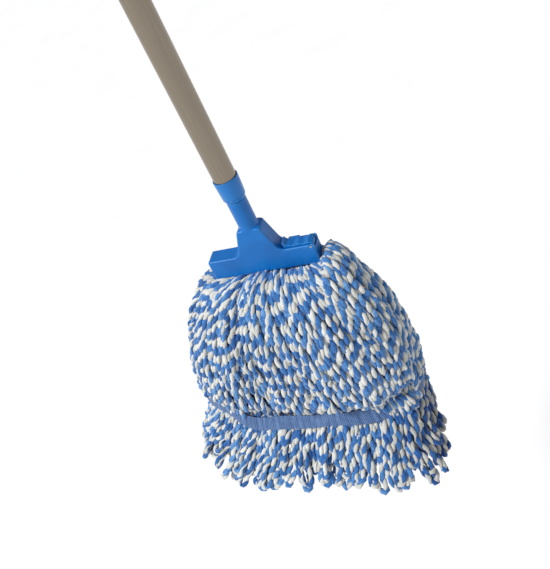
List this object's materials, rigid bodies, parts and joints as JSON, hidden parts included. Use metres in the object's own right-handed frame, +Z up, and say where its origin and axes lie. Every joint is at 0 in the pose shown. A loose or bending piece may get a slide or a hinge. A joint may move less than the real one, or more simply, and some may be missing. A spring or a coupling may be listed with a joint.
{
  "type": "string mop",
  "caption": "Wet string mop: twist-yarn head with tail bands in a plastic side-gate clamp, on a straight tube handle with a hanging slot and a swing tag.",
  "frame": {"origin": "top of the hanging slot in the handle's cap, where a wall hook bears", "axes": "+Z up the handle's axis, +X along the yarn clamp towards its lever, -Y towards the front of the clamp"},
  "size_m": [0.3704, 0.2592, 1.7698],
  "materials": {
    "blue_plastic": "satin",
    "tube_metal": "satin",
    "pin_steel": "satin",
    "yarn": "matte",
    "webbing": "matte",
    "tag_string": "matte",
    "tag_card": "matte"
  },
  "bodies": {
    "handle": {"handle_tube": "tube_metal", "grip_sleeve": "blue_plastic", "hanger_cap": "blue_plastic", "thread_ferrule": "blue_plastic"},
    "head": {"holder_body": "blue_plastic", "jaw_pin": "pin_steel", "lever_pin": "pin_steel", "header_tape": "webbing", "header_yarn": "yarn", "yarn_front": "yarn", "yarn_back": "yarn", "tail_band_front": "webbing", "tail_band_back": "webbing", "fringe_front": "yarn", "fringe_back": "yarn"},
    "jaw": {"rear_jaw": "blue_plastic"},
    "lever": {"release_lever": "blue_plastic"},
    "tag": {"tag_cord": "tag_string", "tag_eyelet": "pin_steel", "tag_card": "tag_card"}
  },
  "joints": [
    {"name": "head_unscrew", "type": "hinge", "parent": "handle", "child": "head", "pos_m": [0, 0, -1.3923], "axis": [0, 0, -1], "range_deg": [0, 990]},
    {"name": "jaw_open", "type": "hinge", "parent": "head", "child": "jaw", "pos_m": [-0.0603, 0.0079, -1.4768], "axis": [0, 0, 1], "range_deg": [0, 70]},
    {"name": "lever_lift", "type": "hinge", "parent": "head", "child": "lever", "pos_m": [0.0603, 0, -1.466], "axis": [0, 1, 0], "range_deg": [0, 60]},
    {"name": "tag_swing", "type": "hinge", "parent": "handle", "child": "tag", "pos_m": [0.004, 0, -0.0216], "axis": [0, -1, 0], "range_deg": [-15, 60]}
  ]
}
